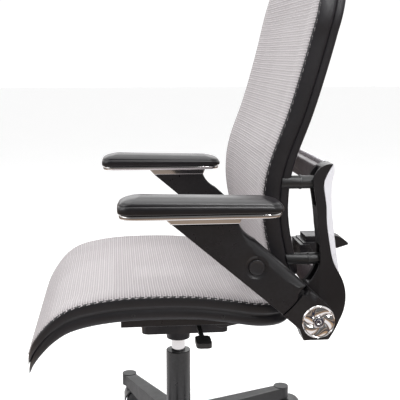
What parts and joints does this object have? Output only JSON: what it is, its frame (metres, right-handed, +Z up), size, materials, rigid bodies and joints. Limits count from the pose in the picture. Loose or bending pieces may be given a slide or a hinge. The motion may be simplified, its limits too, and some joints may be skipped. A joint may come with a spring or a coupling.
{
  "type": "office chair",
  "caption": "Mesh task and gaming chair on a caster base, with a reclining back and flip-up arms.",
  "frame": {"origin": "on the floor, under the gas lift's axis", "axes": "+Z up, -Y towards the chair's front, +X towards its left side"},
  "size_m": [0.662, 0.683, 1.0132],
  "materials": {
    "base_plastic": "fine grain",
    "steel_black": "satin powder coat",
    "steel_chrome": "polished",
    "button_plastic": "satin",
    "mechanism_metal": "dark cast",
    "lever_plastic": "matte",
    "frame_plastic": "satin moulded",
    "rim_plastic": "fine grain",
    "mesh_fabric": "woven mesh",
    "mauve_plastic": "satin moulded",
    "silver_plastic": "satin silver paint",
    "stud_plastic": "satin",
    "hood_plastic": "satin",
    "wheel_rubber": "smooth",
    "arm_plastic": "satin moulded",
    "arm_chrome": "polished plating",
    "pad_skin": "soft moulded polyurethane skin"
  },
  "bodies": {
    "base": {"base_star": "base_plastic", "gas_cylinder": "steel_black"},
    "lift": {"gas_rod": "steel_chrome"},
    "lift_button": {"rod_button": "button_plastic"},
    "mechanism": {"tilt_housing": "mechanism_metal", "tilt_axle": "mechanism_metal"},
    "lift_lever": {"lift_lever": "lever_plastic"},
    "tilt_lock": {"tilt_lock_lever": "lever_plastic"},
    "tension": {"tension_knob": "lever_plastic"},
    "seat": {"seat_plate": "mechanism_metal", "seat_underframe": "frame_plastic", "seat_frame": "rim_plastic", "seat_mesh": "mesh_fabric"},
    "back_carrier": {"carrier_beam": "frame_plastic", "carrier_arm_left": "frame_plastic", "carrier_arm_right": "frame_plastic", "upright_left": "frame_plastic", "upright_right": "frame_plastic", "shell_left": "silver_plastic", "shell_right": "silver_plastic", "panel_top": "mauve_plastic", "shell_top": "silver_plastic", "panel_low": "mauve_plastic", "lock_box": "frame_plastic"},
    "back_lock": {"lock_paddle": "frame_plastic"},
    "backrest": {"back_frame_front": "rim_plastic", "back_frame_rear": "rim_plastic", "back_mesh": "mesh_fabric", "stud_upper_left": "stud_plastic", "stud_upper_right": "stud_plastic", "stud_lower_left": "stud_plastic", "stud_lower_right": "stud_plastic"},
    "caster_1": {"caster_1_hood": "hood_plastic"},
    "wheels_1": {"caster_1_wheels": "wheel_rubber"},
    "caster_2": {"caster_2_hood": "hood_plastic"},
    "wheels_2": {"caster_2_wheels": "wheel_rubber"},
    "caster_3": {"caster_3_hood": "hood_plastic"},
    "wheels_3": {"caster_3_wheels": "wheel_rubber"},
    "caster_4": {"caster_4_hood": "hood_plastic"},
    "wheels_4": {"caster_4_wheels": "wheel_rubber"},
    "caster_5": {"caster_5_hood": "hood_plastic"},
    "wheels_5": {"caster_5_wheels": "wheel_rubber"},
    "arm_left": {"arm_left_lower": "arm_plastic", "arm_left_hub_cap": "arm_chrome", "arm_left_hub_bolt": "steel_chrome"},
    "arm_left_height": {"arm_left_sleeve": "arm_plastic", "arm_left_bracket": "arm_chrome"},
    "arm_left_button": {"arm_left_button": "button_plastic"},
    "arm_left_pad": {"arm_left_trim": "arm_chrome", "arm_left_cushion": "pad_skin"},
    "arm_right": {"arm_right_lower": "arm_plastic", "arm_right_hub_cap": "arm_chrome", "arm_right_hub_bolt": "steel_chrome"},
    "arm_right_height": {"arm_right_sleeve": "arm_plastic", "arm_right_bracket": "arm_chrome"},
    "arm_right_button": {"arm_right_button": "button_plastic"},
    "arm_right_pad": {"arm_right_trim": "arm_chrome", "arm_right_cushion": "pad_skin"}
  },
  "joints": [
    {"name": "caster_1_swivel", "type": "hinge", "parent": "base", "child": "caster_1", "pos_m": [0, -0.318, 0.065], "axis": [0, 0, 1], "continuous": true},
    {"name": "caster_1_roll", "type": "hinge", "parent": "caster_1", "child": "wheels_1", "pos_m": [0, -0.298, 0.0275], "axis": [1, 0, 0], "continuous": true},
    {"name": "caster_2_swivel", "type": "hinge", "parent": "base", "child": "caster_2", "pos_m": [0.30244, -0.09827, 0.065], "axis": [0, 0, 1], "continuous": true},
    {"name": "caster_2_roll", "type": "hinge", "parent": "caster_2", "child": "wheels_2", "pos_m": [0.30244, -0.07827, 0.0275], "axis": [1, 0, 0], "continuous": true},
    {"name": "caster_3_swivel", "type": "hinge", "parent": "base", "child": "caster_3", "pos_m": [0.18692, 0.25727, 0.065], "axis": [0, 0, 1], "continuous": true},
    {"name": "caster_3_roll", "type": "hinge", "parent": "caster_3", "child": "wheels_3", "pos_m": [0.18692, 0.27727, 0.0275], "axis": [1, 0, 0], "continuous": true},
    {"name": "caster_4_swivel", "type": "hinge", "parent": "base", "child": "caster_4", "pos_m": [-0.18692, 0.25727, 0.065], "axis": [0, 0, 1], "continuous": true},
    {"name": "caster_4_roll", "type": "hinge", "parent": "caster_4", "child": "wheels_4", "pos_m": [-0.18692, 0.27727, 0.0275], "axis": [1, 0, 0], "continuous": true},
    {"name": "caster_5_swivel", "type": "hinge", "parent": "base", "child": "caster_5", "pos_m": [-0.30244, -0.09827, 0.065], "axis": [0, 0, 1], "continuous": true},
    {"name": "caster_5_roll", "type": "hinge", "parent": "caster_5", "child": "wheels_5", "pos_m": [-0.30244, -0.07827, 0.0275], "axis": [1, 0, 0], "continuous": true},
    {"name": "seat_lift", "type": "slide", "parent": "base", "child": "lift", "axis": [0, 0, 1], "range_m": [0, 0.1]},
    {"name": "lift_valve", "type": "slide", "parent": "lift", "child": "lift_button", "axis": [0, 0, -1], "range_m": [0, 0.0045]},
    {"name": "seat_swivel", "type": "hinge", "parent": "lift", "child": "mechanism", "pos_m": [0, 0, 0.3], "axis": [0, 0, 1], "continuous": true},
    {"name": "lift_lever_pull", "type": "hinge", "parent": "mechanism", "child": "lift_lever", "pos_m": [-0.045, 0, 0.3529], "axis": [0, 1, 0], "range_deg": [0, 4.5], "stiffness_Nm_per_rad": 1, "springref_deg": -8.59},
    {"name": "tilt_lock_flip", "type": "hinge", "parent": "mechanism", "child": "tilt_lock", "pos_m": [0.045, 0.03, 0.3529], "axis": [0, -1, 0], "range_deg": [0, 5]},
    {"name": "tension_turn", "type": "hinge", "parent": "mechanism", "child": "tension", "pos_m": [0, -0.09, 0.34], "axis": [0, -1, 0], "continuous": true},
    {"name": "back_recline", "type": "hinge", "parent": "mechanism", "child": "back_carrier", "pos_m": [0, 0.08, 0.352], "axis": [-1, 0, 0], "range_deg": [0, 20], "stiffness_Nm_per_rad": 70, "springref_deg": -20.05},
    {"name": "seat_tilt", "type": "hinge", "parent": "mechanism", "child": "seat", "pos_m": [0, -0.06, 0.384], "axis": [-1, 0, 0], "range_deg": [0, 7]},
    {"name": "back_lock_press", "type": "hinge", "parent": "back_carrier", "child": "back_lock", "pos_m": [0, 0.297, 0.488], "axis": [1, 0, 0], "range_deg": [0, 12], "stiffness_Nm_per_rad": 0.5, "springref_deg": -17.19},
    {"name": "back_height", "type": "slide", "parent": "back_carrier", "child": "backrest", "axis": [0, 0, 1], "range_m": [-0.03, 0.015]},
    {"name": "arm_left_flip", "type": "hinge", "parent": "back_carrier", "child": "arm_left", "pos_m": [0, 0.218, 0.4155], "axis": [-1, 0, 0], "range_deg": [0, 100]},
    {"name": "arm_left_raise", "type": "slide", "parent": "arm_left", "child": "arm_left_height", "axis": [0, -0.7604, 0.6494], "range_m": [0, 0.05]},
    {"name": "arm_left_press", "type": "slide", "parent": "arm_left_height", "child": "arm_left_button", "axis": [-1, 0, 0], "range_m": [0, 0.003], "stiffness_N_per_m": 600, "springref_m": -0.002},
    {"name": "arm_left_pad_slide", "type": "slide", "parent": "arm_left_height", "child": "arm_left_pad", "axis": [0, -1, 0], "range_m": [-0.01, 0.04]},
    {"name": "arm_right_flip", "type": "hinge", "parent": "back_carrier", "child": "arm_right", "pos_m": [0, 0.218, 0.4155], "axis": [-1, 0, 0], "range_deg": [0, 100]},
    {"name": "arm_right_raise", "type": "slide", "parent": "arm_right", "child": "arm_right_height", "axis": [0, -0.7604, 0.6494], "range_m": [0, 0.05]},
    {"name": "arm_right_press", "type": "slide", "parent": "arm_right_height", "child": "arm_right_button", "axis": [1, 0, 0], "range_m": [0, 0.003], "stiffness_N_per_m": 600, "springref_m": -0.002},
    {"name": "arm_right_pad_slide", "type": "slide", "parent": "arm_right_height", "child": "arm_right_pad", "axis": [0, -1, 0], "range_m": [-0.043, 0.007]}
  ],
  "couplings": [
    {"joint": "lift_valve", "follows": "lift_lever_pull", "m_per_rad": 0.049},
    {"joint": "seat_tilt", "follows": "back_recline", "ratio": 0.33}
  ]
}
